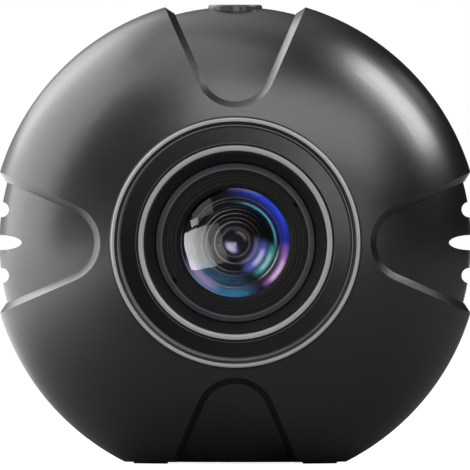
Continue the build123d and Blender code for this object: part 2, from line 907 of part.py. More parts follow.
with BuildPart() as light_sensor:
    with BuildSketch(across(cavity_front)):
        with Locations((0, led_circle_radius)):
            Rectangle(light_sensor_width, light_sensor_width)
    extrude(amount=light_sensor_height)
light_sensor.part.label = "light_sensor"
export_step(light_sensor.part, "parts/light_sensor.step")

with BuildPart() as led_board_screws:
    with BuildSketch(across(led_board_rear)):
        with Locations((-led_circle_radius, 0), (led_circle_radius, 0), (0, -led_circle_radius)):
            Circle(small_head_radius)
    extrude(amount=-small_head_height)
    with BuildSketch(across(led_board_rear)):
        with Locations((-led_circle_radius, 0), (led_circle_radius, 0), (0, -led_circle_radius)):
            Circle(small_screw_radius)
    extrude(amount=led_board_thickness + small_screw_grip)
led_board_screws.part.label = "led_board_screws"
export_step(led_board_screws.part, "parts/led_board_screws.step")

# Lens holder and day/night filter switcher. The carriage rests with its day pane on the lens axis.

swing = asin(pane_spacing / 2 / arm_length)
carriage_shift = -pane_spacing / 2
pin_place = (-arm_length * sin(swing), -arm_pivot_drop + arm_length * cos(swing))
pin_top = -arm_pivot_drop + arm_length
slot_reach = arm_pin_radius + arm_pin_play
carriage_front = -holder_floor - carriage_gap
carriage_rear = carriage_front - carriage_thickness
cover_front = carriage_rear - carriage_gap
tab_bottom = pin_place[1] - slot_reach - carriage_tab_wall
print(f"switcher arm swings {2 * degrees(swing):.2f} degrees")

with BuildPart() as lens_holder:
    with BuildSketch(across(sensor_board_front)):
        with Locations((0, holder_top)):
            Rectangle(
                2 * holder_half_width, holder_top + holder_shoulder,
                align=(Align.CENTER, Align.MAX),
            )
            Rectangle(
                2 * holder_neck_half_width, holder_top + holder_bottom,
                align=(Align.CENTER, Align.MAX),
            )
    extrude(amount=holder_block_front - sensor_board_front)
    with BuildSketch(across(-holder_floor)):
        Circle(holder_boss_radius)
    extrude(amount=holder_front + holder_floor)
    # Chamber, open to the sensor board
    with BuildSketch(across(sensor_board_front)):
        with Locations((0, holder_top - holder_wall)):
            Rectangle(
                2 * (holder_half_width - holder_wall), holder_top - holder_wall + holder_shelf_drop,
                align=(Align.CENTER, Align.MAX),
            )
            Rectangle(
                2 * holder_pad_start, holder_top + holder_shoulder - 2 * holder_wall,
                align=(Align.CENTER, Align.MAX),
            )
            Rectangle(
                2 * (holder_neck_half_width - holder_wall), holder_top + holder_bottom - 2 * holder_wall,
                align=(Align.CENTER, Align.MAX),
            )
    extrude(amount=-holder_floor - sensor_board_front, mode=Mode.SUBTRACT)
    with BuildSketch(across(barrel_rear)):
        Circle(thread_radius)
    extrude(amount=holder_front + cut, mode=Mode.SUBTRACT)
    with BuildSketch(across(-holder_floor)):
        Circle(holder_rear_opening_radius)
    extrude(amount=holder_floor + cut, mode=Mode.SUBTRACT)
    with BuildSketch(across(sensor_board_front)):
        with GridLocations(2 * holder_screw_place[0], 0, 2, 1):
            with Locations((0, holder_screw_place[1])):
                Circle(small_screw_radius)
    extrude(amount=holder_screw_grip, mode=Mode.SUBTRACT)
    # Pivot pin of the switcher arm
    with BuildSketch(across(-holder_floor)):
        with Locations((0, -arm_pivot_drop)):
            Circle(pivot_pin_radius)
    extrude(amount=magnet_rear - arm_thickness + holder_floor)
lens_holder.part.label = "lens_holder"
export_step(lens_holder.part, "parts/lens_holder.step")

with BuildPart() as filter_carriage:
    with BuildSketch(across(carriage_rear)):
        with Locations((carriage_shift, 0)):
            Rectangle(2 * carriage_half_width, 2 * carriage_half_height)
            Rectangle(2 * carriage_tab_half_width, -tab_bottom, align=(Align.CENTER, Align.MAX))
            with GridLocations(pane_spacing, 0, 2, 1):
                Rectangle(pane_width - 2 * pane_ledge, pane_height - 2 * pane_ledge, mode=Mode.SUBTRACT)
        with Locations((carriage_shift, pin_top + slot_reach)):
            Rectangle(
                2 * slot_reach, pin_top - pin_place[1] + 2 * slot_reach,
                align=(Align.CENTER, Align.MAX), mode=Mode.SUBTRACT,
            )
    extrude(amount=carriage_thickness)
    with BuildSketch(across(carriage_rear)):
        with Locations((carriage_shift, 0)):
            with GridLocations(pane_spacing, 0, 2, 1):
                Rectangle(pane_width, pane_height)
    extrude(amount=pane_thickness, mode=Mode.SUBTRACT)
filter_carriage.part.label = "filter_carriage"
export_step(filter_carriage.part, "parts/filter_carriage.step")

with BuildPart() as day_filter:
    with BuildSketch(across(carriage_rear)):
        with Locations((carriage_shift + pane_spacing / 2, 0)):
            Rectangle(pane_width, pane_height)
    extrude(amount=pane_thickness)
day_filter.part.label = "day_filter"
export_step(day_filter.part, "parts/day_filter.step")

with BuildPart() as clear_pane:
    with BuildSketch(across(carriage_rear)):
        with Locations((carriage_shift - pane_spacing / 2, 0)):
            Rectangle(pane_width, pane_height)
    extrude(amount=pane_thickness)
clear_pane.part.label = "clear_pane"
export_step(clear_pane.part, "parts/clear_pane.step")

with BuildPart() as filter_cover:
    with BuildSketch(across(cover_front)):
        with Locations((0, holder_top - holder_wall)):
            Rectangle(
                2 * (holder_half_width - holder_wall), holder_top - holder_wall + holder_shelf_drop,
                align=(Align.CENTER, Align.MAX),
            )
        Rectangle(cover_window, cover_window, mode=Mode.SUBTRACT)
    extrude(amount=-cover_thickness)
filter_cover.part.label = "filter_cover"
export_step(filter_cover.part, "parts/filter_cover.step")

arm_middle = (pin_place[0] / 2, (pin_place[1] - arm_pivot_drop) / 2)

with BuildPart() as switch_arm:
    with BuildSketch(across(magnet_rear)):
        SlotCenterPoint(arm_middle, pin_place, 2 * arm_half_width)
        with Locations((0, -arm_pivot_drop)):
            Circle(arm_hub_radius)
            Circle(pivot_pin_radius + pivot_play, mode=Mode.SUBTRACT)
    extrude(amount=-arm_thickness)
    with BuildSketch(across(magnet_rear)):
        with Locations(pin_place):
            Circle(arm_pin_radius)
    extrude(amount=arm_pin_tip - magnet_rear)
switch_arm.part.label = "switch_arm"
export_step(switch_arm.part, "parts/switch_arm.step")

with BuildPart() as switch_magnet:
    with BuildSketch(across(magnet_rear)):
        with Locations((0, -arm_pivot_drop)):
            Circle(magnet_radius)
            Circle(pivot_pin_radius + pivot_play, mode=Mode.SUBTRACT)
    extrude(amount=magnet_front - magnet_rear)
switch_magnet.part.label = "switch_magnet"
export_step(switch_magnet.part, "parts/switch_magnet.step")

core_drop = holder_bottom + coil_clearance + coil_radius
yoke_front = (magnet_front + magnet_rear + yoke_depth) / 2

with BuildPart() as coil_yoke:
    with BuildSketch(across(yoke_front)):
        with Locations((0, -yoke_top_drop)):
            with GridLocations(2 * holder_neck_half_width + yoke_thickness, 0, 2, 1):
                Rectangle(
                    yoke_thickness, core_drop + core_radius + yoke_foot - yoke_top_drop,
                    align=(Align.CENTER, Align.MAX),
                )
    extrude(amount=-yoke_depth)
    with BuildSketch(Plane.YZ.offset(-holder_neck_half_width)):
        with Locations((-yoke_front + yoke_depth / 2, axis_height - core_drop)):
            Circle(core_radius)
    extrude(amount=2 * holder_neck_half_width)
coil_yoke.part.label = "coil_yoke"
export_step(coil_yoke.part, "parts/coil_yoke.step")

with BuildPart() as filter_coil:
    with BuildSketch(Plane.YZ.offset(-coil_length / 2)):
        with Locations((-yoke_front + yoke_depth / 2, axis_height - core_drop)):
            Circle(coil_radius)
            Circle(core_radius, mode=Mode.SUBTRACT)
    extrude(amount=coil_length)
filter_coil.part.label = "filter_coil"
export_step(filter_coil.part, "parts/filter_coil.step")

# Sensor board

board_corners = [
    upper_spacer_place, (-upper_spacer_place[0], upper_spacer_place[1]),
    lower_spacer_place, (-lower_spacer_place[0], lower_spacer_place[1]),
]

with BuildPart() as sensor_board:
    with BuildSketch(across(sensor_board_rear)):
        with Locations((0, sensor_board_top)):
            Rectangle(
                2 * sensor_board_half_width, sensor_board_top + sensor_board_bottom,
                align=(Align.CENTER, Align.MAX),
            )
        with Locations(board_corners):
            Circle(spacer_screw_radius, mode=Mode.SUBTRACT)
        with Locations((0, holder_screw_place[1])):
            with GridLocations(2 * holder_screw_place[0], 0, 2, 1):
                Circle(small_screw_radius, mode=Mode.SUBTRACT)
    extrude(amount=sensor_board_thickness)
sensor_board.part.label = "sensor_board"
export_step(sensor_board.part, "parts/sensor_board.step")

with BuildPart() as holder_screws:
    with BuildSketch(across(sensor_board_rear)):
        with Locations((0, holder_screw_place[1])):
            with GridLocations(2 * holder_screw_place[0], 0, 2, 1):
                Circle(small_head_radius)
    extrude(amount=-small_head_height)
    with BuildSketch(across(sensor_board_rear)):
        with Locations((0, holder_screw_place[1])):
            with GridLocations(2 * holder_screw_place[0], 0, 2, 1):
                Circle(small_screw_radius)
    extrude(amount=sensor_board_thickness + holder_screw_grip)
holder_screws.part.label = "holder_screws"
export_step(holder_screws.part, "parts/holder_screws.step")

with BuildPart() as image_sensor:
    with BuildSketch(across(sensor_board_front)):
        Rectangle(sensor_width, sensor_height)
    extrude(amount=sensor_thickness)
image_sensor.part.label = "image_sensor"
export_step(image_sensor.part, "parts/image_sensor.step")

with BuildPart() as sensor_glass:
    with BuildSketch(across(sensor_board_front + sensor_thickness)):
        Rectangle(sensor_width - 2 * sensor_glass_margin, sensor_height - 2 * sensor_glass_margin)
    extrude(amount=sensor_glass_thickness)
sensor_glass.part.label = "sensor_glass"
export_step(sensor_glass.part, "parts/sensor_glass.step")

with BuildPart() as board_spacers:
    with BuildSketch(across(main_board_front)):
        with Locations(board_corners):
            Circle(spacer_radius)
    extrude(amount=board_spacing)
    with BuildSketch(across(main_board_rear)):
        with Locations(board_corners):
            Circle(spacer_stub_radius)
    extrude(amount=main_board_thickness)
    with BuildSketch(across(sensor_board_rear)):
        with Locations(board_corners):
            Circle(spacer_screw_radius)
    extrude(amount=-(spacer_screw_length - sensor_board_thickness), mode=Mode.SUBTRACT)
board_spacers.part.label = "board_spacers"
export_step(board_spacers.part, "parts/board_spacers.step")

with BuildPart() as sensor_board_screws:
    with BuildSketch(across(sensor_board_front)):
        with Locations(board_corners):
            Circle(board_screw_head_radius)
    extrude(amount=board_screw_head_height)
    with BuildSketch(across(sensor_board_front)):
        with Locations(board_corners):
            Circle(spacer_screw_radius)
    extrude(amount=-spacer_screw_length)
sensor_board_screws.part.label = "sensor_board_screws"
export_step(sensor_board_screws.part, "parts/sensor_board_screws.step")

with BuildPart() as board_connector:
    with BuildSketch(across(main_board_front)):
        with Locations(connector_place):
            Rectangle(connector_width, connector_height)
    extrude(amount=board_spacing)
board_connector.part.label = "board_connector"
export_step(board_connector.part, "parts/board_connector.step")

# Main board and what sits on it

with BuildPart() as main_board:
    with BuildSketch(across(main_board_rear)):
        Circle(main_board_radius)
        with Locations((0, main_board_top)):
            Rectangle(
                2 * main_board_radius, main_board_top + main_board_radius,
                align=(Align.CENTER, Align.MAX), mode=Mode.INTERSECT,
            )
        with Locations(board_corners):
            Circle(spacer_stub_radius, mode=Mode.SUBTRACT)
        with GridLocations(2 * main_boss_place[0], 2 * main_boss_place[1], 2, 2):
            Circle(main_screw_radius, mode=Mode.SUBTRACT)
    extrude(amount=main_board_thickness)
main_board.part.label = "main_board"
export_step(main_board.part, "parts/main_board.step")

with BuildPart() as main_board_screws:
    with BuildSketch(across(main_board_front)):
        with GridLocations(2 * main_boss_place[0], 2 * main_boss_place[1], 2, 2):
            Circle(main_screw_head_radius)
    extrude(amount=main_screw_head_height)
    with BuildSketch(across(main_board_front)):
        with GridLocations(2 * main_boss_place[0], 2 * main_boss_place[1], 2, 2):
            Circle(main_screw_radius)
    extrude(amount=-(main_board_thickness + main_screw_grip))
main_board_screws.part.label = "main_board_screws"
export_step(main_board_screws.part, "parts/main_board_screws.step")

with BuildPart() as processor:
    with BuildSketch(across(main_board_front)):
        Rectangle(processor_size, processor_size)
    extrude(amount=processor_height)
processor.part.label = "processor"
export_step(processor.part, "parts/processor.step")

with BuildPart() as memory_chip:
    with BuildSketch(across(main_board_front)):
        with Locations(memory_place):
            Rectangle(memory_width, memory_height)
    extrude(amount=memory_thickness)
memory_chip.part.label = "memory_chip"
export_step(memory_chip.part, "parts/memory_chip.step")

with BuildPart() as radio_module:
    with BuildSketch(across(main_board_rear)):
        with Locations((cavity_radius - radio_inset, radio_rise)):
            Rectangle(radio_width, radio_height)
    extrude(amount=-radio_thickness)
radio_module.part.label = "radio_module"
export_step(radio_module.part, "parts/radio_module.step")

with BuildPart() as radio_antenna:
    with BuildSketch(across(main_board_rear - antenna_stand)):
        with Locations(antenna_place):
            Rectangle(antenna_width, antenna_height)
            Rectangle(
                antenna_width - 2 * antenna_leg_width, antenna_slot_height, mode=Mode.SUBTRACT,
            )
    extrude(amount=-antenna_thickness)
    with BuildSketch(across(main_board_rear)):
        with Locations(antenna_place):
            with GridLocations(
                antenna_width - antenna_leg_width, antenna_height - antenna_leg_width, 2, 1,
            ):
                Rectangle(antenna_leg_width, antenna_leg_width)
    extrude(amount=-antenna_stand)
radio_antenna.part.label = "radio_antenna"
export_step(radio_antenna.part, "parts/radio_antenna.step")

usb_rear = -(half_length - usb_mouth_inset)

with BuildPart() as usb_socket:
    with BuildSketch(across(main_board_rear)):
        with Locations(usb_place):
            SlotOverall(usb_width, usb_height)
    extrude(amount=usb_rear - main_board_rear)
    with BuildSketch(across(usb_rear)):
        with Locations(usb_place):
            SlotOverall(usb_width - 2 * usb_sheet, usb_height - 2 * usb_sheet)
            Rectangle(usb_tongue_width, usb_tongue_thickness, mode=Mode.SUBTRACT)
    extrude(amount=usb_cavity_depth, mode=Mode.SUBTRACT)
usb_socket.part.label = "usb_socket"
export_step(usb_socket.part, "parts/usb_socket.step")

with BuildPart() as reset_switch:
    with BuildSketch(across(main_board_rear)):
        with Locations(reset_place):
            Rectangle(reset_body, reset_body)
    extrude(amount=-reset_body_height)
    with BuildSketch(across(main_board_rear - reset_body_height)):
        with Locations(reset_place):
            Circle(reset_plunger_radius + plunger_play)
    extrude(amount=reset_sunk + reset_travel, mode=Mode.SUBTRACT)
reset_switch.part.label = "reset_switch"
export_step(reset_switch.part, "parts/reset_switch.step")

with BuildPart() as reset_plunger:
    with BuildSketch(across(main_board_rear - reset_body_height + reset_sunk)):
        with Locations(reset_place):
            Circle(reset_plunger_radius)
    extrude(amount=-(reset_sunk + reset_plunger_rise))
reset_plunger.part.label = "reset_plunger"
export_step(reset_plunger.part, "parts/reset_plunger.step")

with BuildPart() as microphone:
    with BuildSketch(across(main_board_rear)):
        with Locations(microphone_place):
            Rectangle(microphone_width, microphone_height)
    extrude(amount=-microphone_thickness)
microphone.part.label = "microphone"
export_step(microphone.part, "parts/microphone.step")

microphone_reach = sqrt(microphone_place[0] ** 2 + microphone_place[1] ** 2)
boot_rear = boot_gap + max(
    cavity_rear, -bulge(cavity_radius, cavity_half_depth, microphone_reach + boot_radius),
)

with BuildPart() as microphone_boot:
    with BuildSketch(across(main_board_rear - microphone_thickness)):
        with Locations(microphone_place):
            Circle(boot_radius)
            Circle(sound_hole_radius, mode=Mode.SUBTRACT)
    extrude(amount=boot_rear - main_board_rear + microphone_thickness)
microphone_boot.part.label = "microphone_boot"
export_step(microphone_boot.part, "parts/microphone_boot.step")

with BuildPart() as speaker:
    with BuildSketch(across(speaker_face)):
        with Locations(speaker_place):
            Circle(speaker_radius)
    extrude(amount=speaker_thickness)
    fillet(speaker.edges().group_by(Axis.Y)[0], speaker_edge_round)
speaker.part.label = "speaker"
export_step(speaker.part, "parts/speaker.step")

with BuildPart() as card_socket:
    with BuildSketch(across(main_board_rear)):
        with Locations((0, card_socket_top)):
            Rectangle(card_socket_width, card_socket_length, align=(Align.CENTER, Align.MAX))
    extrude(amount=-card_socket_thickness)
    with BuildSketch(level(-card_socket_end)):
        with Locations((0, -main_board_rear + card_slot_inset)):
            Rectangle(
                card_slot_width, card_slot_height - 2 * card_slot_play,
                align=(Align.CENTER, Align.MIN),
            )
    extrude(amount=card_socket_length - card_slot_end, mode=Mode.SUBTRACT)
card_socket.part.label = "card_socket"
export_step(card_socket.part, "parts/card_socket.step")

# Power button and its switch

with BuildPart() as power_button:
    with BuildSketch(level(flange_bottom)):
        Circle(button_flange_radius)
    extrude(amount=button_flange_thickness)
    with BuildSketch(level(flange_top)):
        Circle(button_radius)
    extrude(amount=button_top - flange_top)
    fillet(power_button.edges().group_by(Axis.Z)[-1], button_edge_round)
power_button.part.label = "power_button"
export_step(power_button.part, "parts/power_button.step")

with BuildPart() as power_plunger:
    with BuildSketch(level(switch_top - plunger_sunk)):
        Circle(plunger_radius)
    extrude(amount=plunger_sunk + plunger_rise)
power_plunger.part.label = "power_plunger"
export_step(power_plunger.part, "parts/power_plunger.step")

with BuildPart() as power_switch:
    with BuildSketch(level(switch_bottom)):
        Rectangle(switch_size, switch_size)
    extrude(amount=switch_height)
    with BuildSketch(level(switch_top)):
        Circle(plunger_radius + plunger_play)
    extrude(amount=-(plunger_sunk + button_travel + plunger_play), mode=Mode.SUBTRACT)
power_switch.part.label = "power_switch"
export_step(power_switch.part, "parts/power_switch.step")

with BuildPart() as switch_board:
    with BuildSketch(level(shelf_top)):
        with Locations((0, -switch_board_front)):
            Rectangle(
                switch_board_width, switch_board_front - switch_board_rear,
                align=(Align.CENTER, Align.MIN),
            )
        with Locations((0, shelf_screw_setback)):
            with GridLocations(switch_board_width - 2 * shelf_screw_inset, 0, 2, 1):
                Circle(small_screw_radius, mode=Mode.SUBTRACT)
    extrude(amount=switch_board_thickness)
switch_board.part.label = "switch_board"
export_step(switch_board.part, "parts/switch_board.step")

with BuildPart() as switch_board_screws:
    with BuildSketch(level(switch_bottom)):
        with Locations((0, shelf_screw_setback)):
            with GridLocations(switch_board_width - 2 * shelf_screw_inset, 0, 2, 1):
                Circle(small_head_radius)
    extrude(amount=small_head_height)
    with BuildSketch(level(switch_bottom)):
        with Locations((0, shelf_screw_setback)):
            with GridLocations(switch_board_width - 2 * shelf_screw_inset, 0, 2, 1):
                Circle(small_screw_radius)
    extrude(amount=-(switch_board_thickness + shelf_screw_grip))
switch_board_screws.part.label = "switch_board_screws"
export_step(switch_board_screws.part, "parts/switch_board_screws.step")

# Battery, in the room between the boss of the tripod insert and the filter coil

battery_top = -core_drop - coil_radius - battery_gap

with BuildPart() as battery_pad:
    with BuildSketch(level(-base_drop + insert_boss_height)):
        Rectangle(battery_width - 4 * battery_round, battery_depth - 2 * battery_round)
    extrude(amount=battery_pad_thickness)
battery_pad.part.label = "battery_pad"
export_step(battery_pad.part, "parts/battery_pad.step")

with BuildPart() as battery:
    with BuildSketch(level(battery_bottom)):
        Rectangle(battery_width, battery_depth)
    extrude(amount=battery_top - battery_bottom)
    fillet(battery.edges().filter_by(Axis.X), battery_round)
    fillet(battery.edges().filter_by(Axis.Z), battery_round / 2)
battery.part.label = "battery"
export_step(battery.part, "parts/battery.step")
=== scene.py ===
import math

import bmesh
import bpy
from mathutils import Matrix, Vector


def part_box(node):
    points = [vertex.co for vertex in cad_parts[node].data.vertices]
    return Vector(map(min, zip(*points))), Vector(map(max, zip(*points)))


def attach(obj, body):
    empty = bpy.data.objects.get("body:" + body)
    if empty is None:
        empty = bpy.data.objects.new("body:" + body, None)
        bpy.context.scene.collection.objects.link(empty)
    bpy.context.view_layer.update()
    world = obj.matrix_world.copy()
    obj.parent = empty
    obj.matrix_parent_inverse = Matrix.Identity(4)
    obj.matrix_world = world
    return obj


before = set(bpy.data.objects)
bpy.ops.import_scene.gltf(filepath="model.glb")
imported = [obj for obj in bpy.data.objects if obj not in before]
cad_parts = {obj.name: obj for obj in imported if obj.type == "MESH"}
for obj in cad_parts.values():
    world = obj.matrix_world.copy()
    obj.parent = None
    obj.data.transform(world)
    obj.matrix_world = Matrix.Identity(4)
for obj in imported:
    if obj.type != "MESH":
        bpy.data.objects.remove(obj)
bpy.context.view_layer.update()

mm = 0.001

# The lens axis runs fore and aft through the middle of the front glass. The lens looks towards -Y.
glass_low, glass_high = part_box("front_lens")
lens_middle = (glass_low + glass_high) / 2
body_middle = (0, 0, 30 * mm)

# The two directions across the lens axis, and across an upright axis through the origin.
across_lens_axis = (1, 0, 1)
across_upright = (1, 1, 0)
upright_foot = (0, 0, 0)

# Most values of a noise texture lie between these two.
noise_low, noise_high = 0.3, 0.7


# ---------------------------------------------------------------- nodes

def join(tree, value, socket):
    """Joins an output to a socket, or sets the socket's own value."""
    if isinstance(value, bpy.types.NodeSocket):
        tree.links.new(value, socket)
    else:
        socket.default_value = value


def place(tree, kind, settings=None, **sockets):
    """A node of this kind with its settings, and its inputs joined to outputs or set to values. An
    input is named with _ for each space, or by its number, as in _0."""
    node = tree.nodes.new(f"ShaderNode{kind}")
    for key, value in (settings or {}).items():
        setattr(node, key, value)
    for key, value in sockets.items():
        key = int(key[1:]) if key[0] == "_" else key.replace("_", " ")
        join(tree, value, node.inputs[key])
    return node


def place_group(tree, group, **sockets):
    """The outputs of a node group, with its inputs joined or set."""
    return place(tree, "Group", {"node_tree": group}, **sockets).outputs


def calc(tree, operation, first, second=0.0):
    return place(tree, "Math", {"operation": operation}, _0=first, _1=second).outputs[0]


def calc_vector(tree, operation, first, second=(0, 0, 0)):
    """The outputs Vector and Value of a sum with vectors."""
    return place(tree, "VectorMath", {"operation": operation}, _0=first, _1=second).outputs


def here(tree):
    """The place on the surface, in the object's own coordinates."""
    return place(tree, "TexCoord").outputs["Object"]


def split(tree, vector):
    return place(tree, "SeparateXYZ", Vector=vector).outputs


def ramp(tree, value, low, high, out_low=0.0, out_high=1.0, smooth=True):
    """The value taken from low..high to out_low..out_high, held at both ends."""
    kind = {"interpolation_type": "SMOOTHSTEP" if smooth else "LINEAR"}
    return place(tree, "MapRange", kind, Value=value, From_Min=low, From_Max=high,
                 To_Min=out_low, To_Max=out_high).outputs["Result"]


def between(tree, value, low, high, soft):
    """1 where the value lies between low and high, and 0 elsewhere, with soft edges."""
    return calc(tree, "MULTIPLY", ramp(tree, value, low - soft, low + soft),
                ramp(tree, value, high - soft, high + soft, 1.0, 0.0))


def toned(tree, colour, tone):
    """The colour with its brightness varied over the surface."""
    return place(tree, "Mix", {"data_type": "RGBA", "blend_type": "MULTIPLY"}, _0=1.0, _6=colour,
                 _7=tone).outputs[2]


def blended(tree, share, low, high):
    """The low colour where share is 0 and the high one where it is 1."""
    return place(tree, "Mix", {"data_type": "RGBA"}, _0=share, _6=low, _7=high).outputs[2]


def bumped(tree, height, depth):
    """The surface normal, pushed by a height between 0 and 1 that is depth metres deep."""
    return place(tree, "Bump", Height=height, Distance=depth, Strength=1.0).outputs["Normal"]


def grey(level):
    return (level, level, level, 1.0)


# ---------------------------------------------------------------- shader node groups

def new_group(name, inputs, outputs):
    """An empty node group, with inputs given as (name, kind, value) and outputs as (name, kind),
    and the sockets inside it: those given and those to be made."""
    tree = bpy.data.node_groups.new(name, "ShaderNodeTree")
    for label, kind, value in inputs:
        socket = tree.interface.new_socket(label, in_out="INPUT", socket_type=f"NodeSocket{kind}")
        socket.default_value = value
    for label, kind in outputs:
        tree.interface.new_socket(label, in_out="OUTPUT", socket_type=f"NodeSocket{kind}")
    given = tree.nodes.new("NodeGroupInput").outputs
    made = tree.nodes.new("NodeGroupOutput").inputs
    return tree, given, made


def build_axis_radius():
    """How far a place is from an axis, and the direction away from it. Across is 1 in the two
    directions across the axis and 0 along it."""
    tree, given, made = new_group(
        "axis_radius",
        [("Position", "Vector", (0, 0, 0)), ("Centre", "Vector", (0, 0, 0)),
         ("Across", "Vector", across_lens_axis)],
        [("Radius", "Float"), ("Away", "Vector")])
    from_centre = calc_vector(tree, "SUBTRACT", given["Position"], given["Centre"])["Vector"]
    away = calc_vector(tree, "MULTIPLY", from_centre, given["Across"])["Vector"]
    join(tree, calc_vector(tree, "LENGTH", away)["Value"], made["Radius"])
    join(tree, calc_vector(tree, "NORMALIZE", away)["Vector"], made["Away"])
    return tree


def build_moulded_grain():
    """The fine spark-eroded grain of a moulding tool."""
    tree, given, made = new_group("moulded_grain", [("Grain Size", "Float", 0.25 * mm)],
                                  [("Height", "Float")])
    per_metre = calc(tree, "DIVIDE", 1.0, given["Grain Size"])
    noise = place(tree, "TexNoise", Vector=here(tree), Scale=per_metre, Detail=2.0, Roughness=0.6)
    join(tree, noise.outputs["Fac"], made["Height"])
    return tree


def build_handling():
    """Faint marks of handling: broad soft patches that change the tone and the roughness."""
    tree, given, made = new_group(
        "handling",
        [("Patch Size", "Float", 9 * mm), ("Tone Change", "Float", 0.1), ("Haze", "Float", 0.06)],
        [("Tone", "Float"), ("Roughness Change", "Float")])
    per_metre = calc(tree, "DIVIDE", 1.0, given["Patch Size"])
    patches = place(tree, "TexNoise", Vector=here(tree), Scale=per_metre, Detail=4.0,
                    Roughness=0.55, Distortion=0.4).outputs["Fac"]
    swing = ramp(tree, patches, noise_low, noise_high, -1.0, 1.0)
    tone_change = calc(tree, "MULTIPLY", swing, given["Tone Change"])
    join(tree, calc(tree, "ADD", 1.0, tone_change), made["Tone"])
    join(tree, calc(tree, "MULTIPLY", swing, given["Haze"]), made["Roughness Change"])
    return tree


def build_turned_rings():
    """The fine rings that a lathe tool leaves round an axis."""
    tree, given, made = new_group(
        "turned_rings",
        [("Centre", "Vector", (0, 0, 0)), ("Across", "Vector", across_lens_axis),
         ("Pitch", "Float", 0.12 * mm)],
        [("Height", "Float"), ("Tone", "Float")])
    radius = place_group(tree, axis_radius, Position=here(tree), Centre=given["Centre"],
                         Across=given["Across"])["Radius"]
    turns = calc(tree, "DIVIDE", radius, given["Pitch"])
    wave = calc(tree, "SINE", calc(tree, "MULTIPLY", turns, math.tau))
    ridge = ramp(tree, wave, -1.0, 1.0, smooth=False)
    drift = place(tree, "TexNoise", {"noise_dimensions": "1D"}, W=turns, Scale=0.7,
                  Detail=3.0).outputs["Fac"]
    join(tree, calc(tree, "MULTIPLY", ridge, drift), made["Height"])
    join(tree, ramp(tree, drift, noise_low, noise_high, 0.88, 1.1), made["Tone"])
    return tree


def build_painted_coating_reflection():
    """A painted reflection on a lens coating, as a colour: a soft ring round the lens axis,
    strongest in one direction. Spread is the cosine of the angle from that direction at which it
    ends."""
    tree, given, made = new_group(
        "painted_coating_reflection",
        [("Centre", "Vector", (0, 0, 0)), ("Towards", "Vector", (1, 0, 0)),
         ("Ring Radius", "Float", 5 * mm), ("Ring Width", "Float", 0.5 * mm),
         ("Spread", "Float", 0.5)],
        [("Painted Reflection", "Float")])
    seen = place_group(tree, axis_radius, Position=here(tree), Centre=given["Centre"],
                       Across=across_lens_axis)
    off_ring = calc(tree, "ABSOLUTE", calc(tree, "SUBTRACT", seen["Radius"], given["Ring Radius"]))
    across = ramp(tree, calc(tree, "DIVIDE", off_ring, given["Ring Width"]), 0.0, 1.0, 1.0, 0.0)
    facing = calc_vector(tree, "DOT_PRODUCT", seen["Away"], given["Towards"])["Value"]
    around = ramp(tree, facing, given["Spread"], 1.0)
    join(tree, calc(tree, "MULTIPLY", across, around), made["Painted Reflection"])
    return tree


axis_radius = build_axis_radius()
moulded_grain = build_moulded_grain()
handling = build_handling()
turned_rings = build_turned_rings()
painted_coating_reflection = build_painted_coating_reflection()


# ---------------------------------------------------------------- materials

def new_material(name):
    """An empty material, its node tree and its surface socket."""
    material = bpy.data.materials.new(name)
    material.use_nodes = True
    tree = material.node_tree
    tree.nodes.clear()
    return material, tree, tree.nodes.new("ShaderNodeOutputMaterial").inputs["Surface"]


def finish_moulding(name, colour, roughness, grain_size=0.25 * mm, grain_depth=0.004 * mm,
                    tone=0.1, haze=0.05, patch=9 * mm, **plain):
    """A moulded, drawn or stamped surface: the fine grain of its tool and faint handling marks."""
    material, tree, surface = new_material(name)
    grain = place_group(tree, moulded_grain, Grain_Size=grain_size)
    marks = place_group(tree, handling, Patch_Size=patch, Tone_Change=tone, Haze=haze)
    shader = place(tree, "BsdfPrincipled", Base_Color=toned(tree, colour, marks["Tone"]),
                   Roughness=calc(tree, "ADD", roughness, marks["Roughness Change"]),
                   Normal=bumped(tree, grain["Height"], grain_depth), **plain)
    join(tree, shader.outputs[0], surface)
    return material


def finish_turned(name, colour, roughness, centre, across=across_lens_axis, **plain):
    """Turned metal: tool rings round an axis and faint handling marks."""
    ring_pitch, ring_depth = 0.12 * mm, 0.003 * mm
    material, tree, surface = new_material(name)
    rings = place_group(tree, turned_rings, Centre=centre, Across=across, Pitch=ring_pitch)
    marks = place_group(tree, handling, Patch_Size=3 * mm, Tone_Change=0.06, Haze=0.04)
    tones = calc(tree, "MULTIPLY", rings["Tone"], marks["Tone"])
    shader = place(tree, "BsdfPrincipled", Base_Color=toned(tree, colour, tones),
                   Roughness=calc(tree, "ADD", roughness, marks["Roughness Change"]),
                   Normal=bumped(tree, rings["Height"], ring_depth), **plain)
    join(tree, shader.outputs[0], surface)
    return material


